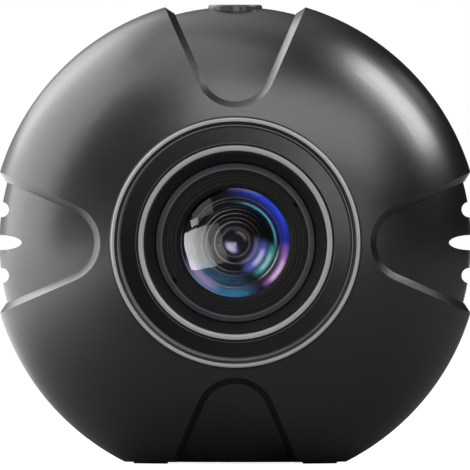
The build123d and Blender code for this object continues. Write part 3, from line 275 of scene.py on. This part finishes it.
def finish_banded(name, lip, band_colour, bands, roughness, roughness_lip=0.4, metallic=0.0,
                  soft=0.05 * mm, **plain):
    """A ring round the lens axis, in the band colour between each pair of radii in bands and in the
    lip colour elsewhere. The band colour is bare metal on the other rings and a painted highlight
    on the smoked window."""
    ring_pitch, ring_depth = 0.05 * mm, 0.0003 * mm
    material, tree, surface = new_material(name)
    rings = place_group(tree, turned_rings, Centre=lens_middle, Pitch=ring_pitch)
    marks = place_group(tree, handling, Patch_Size=5 * mm, Tone_Change=0.03, Haze=0.015)
    radius = place_group(tree, axis_radius, Position=here(tree), Centre=lens_middle,
                         Across=across_lens_axis)["Radius"]
    share = 0.0
    for inner, outer in bands:
        share = calc(tree, "ADD", between(tree, radius, inner, outer, soft), share)
    tones = calc(tree, "MULTIPLY", rings["Tone"], marks["Tone"])
    rough = calc(tree, "ADD", ramp(tree, share, 0, 1, roughness_lip, roughness),
                 marks["Roughness Change"])
    if metallic:
        plain["Metallic"] = calc(tree, "MULTIPLY", share, metallic)
    shader = place(tree, "BsdfPrincipled", Roughness=rough,
                   Base_Color=toned(tree, blended(tree, share, lip, band_colour), tones),
                   Normal=bumped(tree, rings["Height"], ring_depth), **plain)
    join(tree, shader.outputs[0], surface)
    return material


def finish_glass(name, colour, mirrored=(1, 1, 1, 1)):
    """Clear glass, coated so that its rear mirrors nothing, which lets the lamps through to what is
    behind it. Mirrored is the tint of what its front mirrors."""
    crown_glass_ior = 1.52
    material, tree, surface = new_material(name)
    rear = place(tree, "NewGeometry").outputs["Backfacing"]
    glass = place(tree, "BsdfPrincipled", Base_Color=colour, Roughness=0.0, IOR=crown_glass_ior,
                  Transmission_Weight=1.0, Specular_Tint=blended(tree, rear, mirrored, grey(0.0)))
    clear = place(tree, "BsdfTransparent", Color=colour)
    lamp_ray = place(tree, "LightPath").outputs["Is Shadow Ray"]
    mix = place(tree, "MixShader", _0=lamp_ray, _1=glass.outputs[0], _2=clear.outputs[0])
    join(tree, mix.outputs[0], surface)
    return material


def finish_power_socket(name, steel, plastic, gilt):
    """A steel socket shell with a dark plastic tongue, which has a row of gilt contacts on its
    upper and lower face."""
    tongue_half_width, tongue_half_height, core_half_height = 3.4 * mm, 0.4 * mm, 0.3 * mm
    contact_pitch, soft = 0.5 * mm, 0.03 * mm
    material, tree, surface = new_material(name)
    low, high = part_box("usb_socket")
    middle = (low + high) / 2
    marks = place_group(tree, handling, Patch_Size=4 * mm, Tone_Change=0.1, Haze=0.05)
    across, _, up = split(tree, here(tree))
    tongue = calc(tree, "MULTIPLY",
                  between(tree, across, middle.x - tongue_half_width, middle.x + tongue_half_width,
                          soft),
                  between(tree, up, middle.z - tongue_half_height, middle.z + tongue_half_height,
                          soft))
    core = between(tree, up, middle.z - core_half_height, middle.z + core_half_height, soft)
    faces = calc(tree, "MULTIPLY", tongue, calc(tree, "SUBTRACT", 1.0, core))
    turns = calc(tree, "MULTIPLY", across, math.tau / contact_pitch)
    stripe = ramp(tree, calc(tree, "COSINE", turns), 0.1, 0.3)
    contact = calc(tree, "MULTIPLY", faces, stripe)
    colour = blended(tree, contact, blended(tree, tongue, steel, plastic), gilt)
    metal = calc(tree, "ADD", calc(tree, "SUBTRACT", 1.0, tongue), contact)
    shader = place(tree, "BsdfPrincipled", Base_Color=toned(tree, colour, marks["Tone"]),
                   Metallic=metal, Roughness=calc(tree, "ADD", 0.28, marks["Roughness Change"]))
    join(tree, shader.outputs[0], surface)
    return material


def finish_board(name, lacquer, track, tin):
    """A lacquered circuit board: copper tracks under the lacquer, and small tinned holes."""
    track_tile, hole_spacing, track_height = 4 * mm, 2.6 * mm, 0.02 * mm
    material, tree, surface = new_material(name)
    marks = place_group(tree, handling, Patch_Size=6 * mm, Tone_Change=0.06, Haze=0.05)
    across, _, up = split(tree, here(tree))
    flat = place(tree, "CombineXYZ", X=across, Y=up).outputs[0]
    # The track sizes are shares of the tile, and the hole edges are shares of the hole spacing.
    tracks = place(tree, "TexBrick", Vector=flat, Scale=1 / track_tile, Mortar_Size=0.03,
                   Brick_Width=0.9, Row_Height=0.14).outputs["Fac"]
    from_hole = place(tree, "TexVoronoi", Vector=flat, Scale=1 / hole_spacing).outputs["Distance"]
    tinned = ramp(tree, from_hole, 0.07, 0.1, 1.0, 0.0)
    colour = blended(tree, tinned, blended(tree, tracks, lacquer, track), tin)
    height = calc(tree, "MAXIMUM", tracks, tinned)
    shader = place(tree, "BsdfPrincipled", Base_Color=toned(tree, colour, marks["Tone"]),
                   Metallic=tinned, Roughness=calc(tree, "ADD", 0.32, marks["Roughness Change"]),
                   Normal=bumped(tree, height, track_height))
    join(tree, shader.outputs[0], surface)
    return material


tin = (0.6, 0.6, 0.58, 1)
gilt = (0.8, 0.55, 0.2, 1)

# The bare bands of the rings, the painted highlights on the lips of the smoked window and the
# bright grooves of the retainer, as radii about the lens axis.
bezel_crest = (15.9 * mm, 16.36 * mm)
trim_crest = (12.05 * mm, 12.72 * mm)
window_lip_highlights = [(12.96 * mm, 13.1 * mm), (15.33 * mm, 15.46 * mm)]
retainer_grooves = [(7.88 * mm, 7.94 * mm), (8.42 * mm, 8.48 * mm), (8.86 * mm, 8.92 * mm)]

shell_plastic = finish_moulding("shell_plastic", (0.003, 0.003, 0.0033, 1), 0.29, tone=0.08,
                                haze=0.015, IOR=1.6, Specular_IOR_Level=1.0)
black_plastic = finish_moulding("black_plastic", grey(0.008), 0.5)
pad_rubber = finish_moulding("pad_rubber", grey(0.02), 0.82, grain_size=0.5 * mm,
                             grain_depth=0.02 * mm, tone=0.2)
chip_package = finish_moulding("chip_package", grey(0.02), 0.55, grain_size=0.08 * mm, tone=0.12)
battery_wrap = finish_moulding("battery_wrap", (0.05, 0.16, 0.42, 1), 0.3, tone=0.08)
diode_resin = finish_moulding("diode_resin", (0.3, 0.28, 0.32, 1), 0.2, grain_depth=0.0)
black_screws = finish_moulding("black_screws", grey(0.06), 0.38, Metallic=1.0, tone=0.2,
                               patch=2 * mm)
steel_screws = finish_moulding("steel_screws", grey(0.55), 0.3, Metallic=1.0, patch=2 * mm)
socket_steel = finish_moulding("socket_steel", tin, 0.28, Metallic=1.0, patch=4 * mm)
coil_copper = finish_moulding("coil_copper", (0.72, 0.32, 0.14, 1), 0.3, Metallic=1.0,
                              patch=1 * mm)
power_socket = finish_power_socket("power_socket", tin, grey(0.01), gilt)
circuit_board = finish_board("circuit_board", (0.008, 0.05, 0.024, 1), (0.03, 0.14, 0.06, 1), tin)

insert_brass = finish_turned("insert_brass", (0.72, 0.5, 0.22, 1), 0.26, upright_foot,
                             across_upright, Metallic=1.0)
button_metal = finish_turned("button_metal", grey(0.1), 0.2, upright_foot, across_upright,
                             Metallic=0.5)
barrel_metal = finish_turned("barrel_metal", (0.009, 0.008, 0.011, 1), 0.4, lens_middle)
barrel_face = finish_turned("barrel_face", (0.085, 0.076, 0.095, 1), 0.6, lens_middle)
collar_metal = finish_turned("collar_metal", (0.05, 0.05, 0.062, 1), 0.4, lens_middle)

bezel_metal = finish_banded("bezel_metal", grey(0.02), (0.46, 0.46, 0.47, 1), [bezel_crest], 0.5,
                            metallic=0.3)
trim_metal = finish_banded("trim_metal", grey(0.012), grey(0.48), [trim_crest], 0.5, metallic=0.4)
# The smoked window's light grey bands are painted highlights on the edges of its lips.
smoked_window = finish_banded("smoked_window", grey(0.003), grey(0.2), window_lip_highlights, 0.4,
                              roughness_lip=0.22, Specular_IOR_Level=0.8)
retainer_face = finish_banded("retainer_face", (0.006, 0.006, 0.007, 1), (0.07, 0.065, 0.06, 1),
                              retainer_grooves, 0.5, roughness_lip=0.5, soft=0.03 * mm,
                              Specular_IOR_Level=0.35)

optical_glass = finish_glass("optical_glass", grey(1.0))
inner_glass = finish_glass("inner_glass", grey(1.0), mirrored=grey(0.1))
filter_glass = finish_glass("filter_glass", (0.75, 0.92, 0.95, 1), mirrored=(1, 0.5, 0.4, 1))

# The finish for each slot of the record, and for the nodes that differ from their slot.
slot_finishes = {
    "shell_plastic": shell_plastic, "black_plastic": black_plastic, "pad_rubber": pad_rubber,
    "chip_package": chip_package, "battery_wrap": battery_wrap, "black_screws": black_screws,
    "steel_screws": steel_screws, "socket_steel": socket_steel, "coil_copper": coil_copper,
    "insert_brass": insert_brass, "dark_metal": bezel_metal, "barrel_metal": barrel_metal,
    "button_metal": button_metal, "smoked_window": smoked_window, "diode_resin": diode_resin,
    "circuit_board": circuit_board, "optical_glass": optical_glass, "filter_glass": filter_glass,
}
node_finishes = {
    "lens_trim_ring": trim_metal, "lens_barrel": barrel_face, "lens_retainer": retainer_face,
    "second_lens": inner_glass, "rear_lens": inner_glass, "usb_socket": power_socket,
}
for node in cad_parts.values():
    for slot in node.material_slots:
        slot.material = slot_finishes[slot.material.name]
for name, finish in node_finishes.items():
    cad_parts[name].material_slots[0].material = finish


# ---------------------------------------------------------------- what shows inside the lens

def new_piece(name, mesh, material):
    """A smooth piece fixed to the camera's housing."""
    piece = bpy.data.objects.new(name, mesh)
    bpy.context.scene.collection.objects.link(piece)
    mesh.materials.append(material)
    for face in mesh.polygons:
        face.use_smooth = True
    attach(piece, "housing")


def turned_mesh(name, profile):
    """A mesh turned about the lens axis from (radius, place along the axis) points."""
    steps = 128
    turns = [k * math.tau / steps for k in range(steps)]
    shape = bmesh.new()
    rows = []
    for radius, along in profile:
        around = turns if radius else [0.0]
        rows.append([shape.verts.new((lens_middle.x + radius * math.cos(turn), along,
                                      lens_middle.z + radius * math.sin(turn)))
                     for turn in around])
    for inner, outer in zip(rows, rows[1:]):
        for k in range(steps):
            corners = (inner[k % len(inner)], inner[(k + 1) % len(inner)],
                       outer[(k + 1) % len(outer)], outer[k % len(outer)])
            shape.faces.new(list(dict.fromkeys(corners)))
    mesh = bpy.data.meshes.new(name)
    shape.to_mesh(mesh)
    shape.free()
    return mesh


def fall_back(curve, radius):
    """How far a lens face of this curve radius lies behind its crest, at a radius from the axis."""
    return curve - math.sqrt(curve**2 - radius**2)


def radii_out_to(edge, steps):
    return [k / steps * edge for k in range(steps + 1)]


def finish_painted_coating(name, base, painted_reflections, clear=True, roughness=0.5, specular=0.0):
    """A thin lens coating, coloured with painted reflections and painted highlights. Each painted
    reflection is (radius, width, angle, spread, colour, cover) with lengths in mm and angles in
    degrees, seen from the front with 0 to the right and 90 up. A spread of 180 goes all round and
    is weakest opposite its angle."""
    all_round = -1.6
    material, tree, surface = new_material(name)
    colour, cover = base, 0.0
    for radius, width, angle, spread, tint, share in painted_reflections:
        turn = math.radians(angle)
        limit = all_round if spread >= 180 else math.cos(math.radians(spread))
        painted_reflection = place_group(tree, painted_coating_reflection, Centre=lens_middle, Ring_Radius=radius * mm,
                           Ring_Width=width * mm, Towards=(math.cos(turn), 0, math.sin(turn)),
                           Spread=limit)["Painted Reflection"]
        colour = blended(tree, painted_reflection, colour, (*tint, 1))
        cover = calc(tree, "MAXIMUM", cover, calc(tree, "MULTIPLY", painted_reflection, share))
    plain = {"Alpha": cover} if clear else {}
    shader = place(tree, "BsdfPrincipled", Base_Color=colour, Roughness=roughness,
                   Specular_IOR_Level=specular, **plain)
    join(tree, shader.outputs[0], surface)
    return material


# Colours of the painted reflections and painted highlights in the lens.
blue, cyan, magenta = (0.045, 0.11, 1.0), (0.14, 0.65, 0.95), (0.6, 0.24, 0.75)
pale = (0.4, 0.41, 0.46)

# Painted reflections on the coating of the front glass, and painted highlights on the edges behind
# it.
front_painted_reflections = [
    # The blue arc at the upper right, from its dark bed to its brightest line, and its pale end.
    (6.3, 1.7, 32, 85, (0.012, 0.02, 0.13), 0.95),
    (6.5, 1.4, 22, 45, (0.025, 0.04, 0.42), 0.9),
    (6.75, 1.3, 47, 58, (0.03, 0.05, 0.5), 1.0),
    (6.8, 0.75, 48, 44, blue, 1.0),
    (6.9, 0.5, 82, 26, (0.25, 0.3, 0.7), 0.7),
    # The teal below.
    (6.9, 2.7, -110, 56, (0.06, 0.26, 0.5), 1.0),
    (5.1, 1.8, -115, 55, (0.02, 0.1, 0.19), 0.8),
    # The magenta at the lower right with its pale core, and the lavender at the lower left.
    (6.5, 0.9, -30, 34, magenta, 1.0),
    (6.6, 0.55, -34, 17, (0.95, 0.75, 0.95), 0.8),
    (6.2, 1.2, -138, 32, (0.48, 0.37, 0.72), 0.9),
    # Thin painted highlight lines: at the rim on the left, and further in at the lower and the
    # upper right.
    (7.0, 0.25, -150, 60, (0.35, 0.6, 0.9), 0.9),
    (5.5, 0.25, -33, 32, (0.8, 0.8, 0.82), 0.85),
    (5.12, 0.3, 38, 66, cyan, 0.95),
    # The green and the blue patch further in, each with its pale core, and the dim blue within.
    (4.72, 0.9, -31, 38, (0.06, 0.65, 0.55), 1.0),
    (4.7, 0.5, -32, 19, (0.6, 0.95, 0.9), 0.75),
    (3.65, 1.1, -34, 50, (0.15, 0.18, 0.88), 0.95),
    (3.68, 0.6, -33, 24, (0.75, 0.78, 1.0), 0.8),
    (2.75, 0.8, -30, 60, (0.14, 0.15, 0.42), 0.75),
    # Painted highlights on the edges of the lenses and rings behind, as thin pale circles.
    (5.75, 0.1, 180, 180, pale, 0.5),
    (4.28, 0.1, 180, 180, pale, 0.55),
    (3.75, 0.1, 180, 180, pale, 0.55),
    (3.2, 0.06, 70, 110, pale, 0.25),
    (2.69, 0.22, 180, 180, pale, 0.42),
    (4.6, 0.05, 140, 100, pale, 0.2),
    (5.35, 0.05, 120, 110, pale, 0.25),
]
inner_painted_highlights = [
    # The painted lavender highlight at the lower left, from its dark bed to its bright core, and
    # the painted warm highlight at the edge.
    (0.9, 1.2, -128, 110, (0.02, 0.017, 0.075), 1.0),
    (1.0, 0.9, -128, 80, (0.2, 0.18, 0.6), 1.0),
    (1.05, 0.7, -130, 62, (0.9, 0.88, 1.0), 1.0),
    (1.55, 0.45, 49, 50, (0.35, 0.24, 0.18), 1.0),
]


def coat_front_glass():
    """The coating of the front glass, on the flat rim of its rear and in the hollow within it,
    coloured with painted reflections.
    """
    coating = finish_painted_coating("lens_coating_painted_reflections", (0.02, 0.02, 0.03, 1), front_painted_reflections)
    rear_of_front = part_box("front_lens")[1].y
    hollow_curve, hollow_radius, rim_radius = 8.2 * mm, 5.4 * mm, 7.35 * mm
    hollow_crest = rear_of_front - fall_back(hollow_curve, hollow_radius)
    # The rim's coating lies just inside the glass, and the hollow's just behind it.
    rim_place, hollow_gap, edge_gap = rear_of_front - 0.1 * mm, 0.03 * mm, 0.05 * mm
    rim = [(hollow_radius + edge_gap, rim_place), (rim_radius, rim_place)]
    new_piece("rim_painted_reflections", turned_mesh("rim_painted_reflections", rim), coating)
    hollow = [(radius, hollow_crest + fall_back(hollow_curve, radius) + hollow_gap)
              for radius in radii_out_to(hollow_radius - edge_gap, 24)]
    new_piece("hollow_painted_reflections", turned_mesh("hollow_painted_reflections", hollow), coating)


def set_inner_lens():
    """The small lens seen through the front glass, with its collar, on the second lens. Its face is
    coloured with painted highlights.
    """
    coated = finish_painted_coating("inner_lens", (0.01, 0.009, 0.014, 1), inner_painted_highlights, clear=False,
                            roughness=0.15, specular=0.15)
    second_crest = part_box("second_lens")[0].y
    curve, edge = 2.6 * mm, 1.82 * mm
    # The lens's rim and its seat lie this far inside the second lens.
    rim_sink, seat_sink = 0.05 * mm, 0.1 * mm
    seat = second_crest + seat_sink
    crest = second_crest - fall_back(curve, edge) + rim_sink
    face = [(radius, crest + fall_back(curve, radius)) for radius in radii_out_to(edge, 16)]
    new_piece("inner_lens", turned_mesh("inner_lens", [*face, (edge, seat)]), coated)
    bore, crown, shoulder, outside = 1.86 * mm, 2.0 * mm, 2.3 * mm, 2.4 * mm
    collar = [(bore, seat), (bore, second_crest - 0.12 * mm), (crown, second_crest - 0.2 * mm),
              (shoulder, second_crest - 0.1 * mm), (outside, seat)]
    new_piece("inner_lens_collar", turned_mesh("inner_lens_collar", collar), collar_metal)


coat_front_glass()
set_inner_lens()


# ---------------------------------------------------------------- floor and room

def mirror_rays(tree):
    """The light path's outputs, and 1 for rays that metal mirrors or that glass lets through."""
    rays = place(tree, "LightPath").outputs
    return rays, calc(tree, "MAXIMUM", rays["Is Glossy Ray"], rays["Is Transmission Ray"])


def build_floor():
    """A pale sheet under the object, which keeps its shadow. The camera sees it white, and clear
    from below. Metal and glass see it white behind the object, and towards the camera they see
    it in painted shade, with its colour darkened there."""
    reach, paper_grain = 3.2, 90.0
    # It brightens to the rear of a slanted line through the object, over this length.
    fade_slant, fade_length = 2.2, 0.3
    white_glow, painted_shade_level = 0.85, 0.15
    mesh = bpy.data.meshes.new("pale_floor")
    mesh.from_pydata([(-reach, -reach, 0), (reach, -reach, 0), (reach, reach, 0),
                      (-reach, reach, 0)], [], [(0, 1, 2, 3)])
    floor = bpy.data.objects.new("pale_floor", mesh)
    bpy.context.scene.collection.objects.link(floor)
    material, tree, surface = new_material("pale_floor")
    spot = here(tree)
    aside, along, _ = split(tree, spot)
    behind_line = calc(tree, "SUBTRACT", along, calc(tree, "MULTIPLY", aside, fade_slant))
    white_part = ramp(tree, behind_line, 0.0, fade_length)
    rays, mirrored = mirror_rays(tree)
    seen = calc(tree, "MAXIMUM", rays["Is Camera Ray"], calc(tree, "MULTIPLY", mirrored, white_part))
    # Painted shade: towards the camera the floor's colour is darkened for metal and glass.
    dim = calc(tree, "MULTIPLY", mirrored, calc(tree, "SUBTRACT", 1.0, white_part))
    paper = place(tree, "TexNoise", Vector=spot, Scale=paper_grain, Detail=3.0).outputs["Fac"]
    grain_and_painted_shade = calc(tree, "MULTIPLY", ramp(tree, paper, 0, 1, 0.97, 1.03),
                     ramp(tree, dim, 0, 1, 1.0, painted_shade_level))
    from_above = calc(tree, "SUBTRACT", 1.0, place(tree, "NewGeometry").outputs["Backfacing"])
    shader = place(tree, "BsdfPrincipled", Base_Color=toned(tree, grey(0.8), grain_and_painted_shade),
                   Roughness=0.75, Emission_Color=grey(1.0), Alpha=from_above,
                   Emission_Strength=calc(tree, "MULTIPLY", seen, white_glow))
    join(tree, shader.outputs[0], surface)
    mesh.materials.append(material)


def build_room():
    """White all round for the camera. Metal and glass see the white sheet behind and to the left of
    the object, and a dim room on the other sides."""
    sheet_way = (-0.8, 0.0, 0.6)
    sheet_dark, sheet_white = 0.015, 1.0
    room_left, room_right = 0.15, 0.02
    diffuse_fill = 0.25
    world = bpy.data.worlds.new("studio")
    bpy.context.scene.world = world
    world.use_nodes = True
    tree = world.node_tree
    tree.nodes.clear()
    way = place(tree, "TexCoord").outputs["Generated"]
    towards_sheet = calc_vector(tree, "DOT_PRODUCT", way, sheet_way)["Value"]
    rightwards, rearwards, _ = split(tree, way)
    sheet = ramp(tree, towards_sheet, 0.0, 0.75, sheet_dark, sheet_white)
    front = ramp(tree, rightwards, -0.2, 0.7, room_left, room_right)
    room = place(tree, "Mix", {"data_type": "FLOAT"}, _0=ramp(tree, rearwards, -0.3, 0.4),
                 _2=front, _3=sheet).outputs[0]
    rays, mirrored = mirror_rays(tree)
    seen = calc(tree, "MAXIMUM", rays["Is Camera Ray"], calc(tree, "MULTIPLY", mirrored, room))
    fill = calc(tree, "MULTIPLY", rays["Is Diffuse Ray"], diffuse_fill)
    shade = place(tree, "Background", Color=grey(1.0), Strength=calc(tree, "ADD", seen, fill))
    join(tree, shade.outputs[0], tree.nodes.new("ShaderNodeOutputWorld").inputs["Surface"])


# ---------------------------------------------------------------- lamps

def hang_softbox(name, way, distance, width, height, radiance, tilt=0.0, aim=body_middle,
                 seen_in=(), unseen_in=(), fade=None):
    """A lamp box in this direction from its aim, facing it, as bright as radiance. It lights
    everything, or the objects in seen_in alone, or all but those in unseen_in. Fade is its
    brightness at the right side as a share of that at the left."""
    lamp = bpy.data.lights.new(name, "AREA")
    lamp.shape = "RECTANGLE"
    lamp.size, lamp.size_y = width, height
    lamp.energy = radiance * math.pi * width * height
    box = bpy.data.objects.new(name, lamp)
    bpy.context.scene.collection.objects.link(box)
    towards = Vector(way).normalized()
    box.location = Vector(aim) + towards * distance
    turn = towards.to_track_quat("Z", "Y").to_matrix().to_4x4()
    box.rotation_euler = (turn @ Matrix.Rotation(math.radians(tilt), 4, "Z")).to_euler()
    box.visible_camera = False
    if fade is not None:
        lamp.use_nodes = True
        tree = lamp.node_tree
        across = split(tree, place(tree, "NewGeometry").outputs["Parametric"])["X"]
        join(tree, ramp(tree, across, 0.0, 1.0, 1.0, fade, smooth=False),
             tree.nodes["Emission"].inputs["Strength"])
    if seen_in or unseen_in:
        linked = bpy.data.collections.new(f"{name}_nodes")
        for node in seen_in or unseen_in:
            linked.objects.link(bpy.data.objects[node])
        box.light_linking.receiver_collection = linked
        if unseen_in:
            for entry in linked.collection_objects:
                entry.light_linking.link_state = "EXCLUDE"


def hang_window():
    """A window of two panes with a lit corner above and a pale wall over it, in front to the left,
    which only the front glass mirrors."""
    distance, lean = 65 * mm, 16
    # name, mm to the right of the lens and above it, width and height in mm, radiance, fade
    panes = [
        ("window_pane", -37.5, -6.6, 30, 41, 12.0, 0.25),
        ("window_side_pane", -17, -0.8, 12, 38, 2.0, 0.5),
        ("window_corner", -42, 21, 9, 8, 7.0, 0.6),
        ("window_wall", -36, 38, 24, 26, 1.0, 1.0),
    ]
    for name, across, up, width, height, radiance, fade in panes:
        hang_softbox(name, (0, -1, 0), distance, width * mm, height * mm, radiance, tilt=lean,
                     aim=lens_middle + Vector((across * mm, 0, up * mm)),
                     seen_in=["front_lens"], fade=fade)


def hang_lamps():
    """The soft boxes, each where the photo's highlight asks for it. Some light single pieces."""
    glossy_front = ["front_lens", "night_window"]
    hang_softbox("top_front_box", way=(0.28, -0.707, 0.65), distance=0.9, width=1.05, height=0.45,
                 radiance=1.8, tilt=-14, unseen_in=glossy_front)
    hang_softbox("overhead_box", way=(-0.2, -0.28, 0.94), distance=0.9, width=0.62, height=0.55,
                 radiance=0.95)
    hang_softbox("low_left_panel", way=(-0.13, -0.97, -0.13), distance=0.14, width=0.045,
                 height=0.036, radiance=2.2, aim=lens_middle, seen_in=["night_window"])
    hang_softbox("left_box", way=(-1.0, 0.22, 0.43), distance=0.8, width=1.0, height=1.2,
                 radiance=1.8)
    hang_softbox("upper_right_box", way=(0.7, 0.06, 0.62), distance=0.8, width=0.3, height=0.44,
                 radiance=6.9)
    hang_softbox("rear_right_box", way=(0.64, 0.53, 0.55), distance=0.8, width=0.14, height=0.16,
                 radiance=1.0)
    hang_softbox("rear_left_box", way=(-0.55, 0.65, 0.54), distance=0.8, width=0.5, height=0.45,
                 radiance=1.5)
    hang_softbox("right_front_box", way=(0.588, -0.81, 0.07), distance=0.9, width=0.25, height=0.4,
                 radiance=0.9, unseen_in=glossy_front)
    hang_softbox("button_box", way=(0.08, -1.0, 0.0), distance=0.8, width=0.35, height=0.5,
                 radiance=1.4, seen_in=["power_button"])
    hang_softbox("coating_box", way=(0.0, -1.0, 0.0), distance=0.5, width=0.25, height=0.25,
                 radiance=8.0, aim=lens_middle, seen_in=["rim_painted_reflections", "hollow_painted_reflections"])
    hang_window()


# ---------------------------------------------------------------- camera

def stand_camera():
    """A long lens straight in front, level with the middle of the body."""
    aside, distance, level = -0.04 * mm, 2.583, 30.1 * mm
    view = bpy.data.cameras.new("front_camera")
    view.lens = 1500
    view.sensor_width = 36
    view.clip_start, view.clip_end = 0.1, 10
    camera = bpy.data.objects.new("front_camera", view)
    bpy.context.scene.collection.objects.link(camera)
    camera.location = (aside, -distance, level)
    camera.rotation_euler = (math.radians(90), 0, 0)
    bpy.context.scene.camera = camera


build_floor()
build_room()
hang_lamps()
stand_camera()
bpy.context.scene.view_settings.view_transform = "Standard"
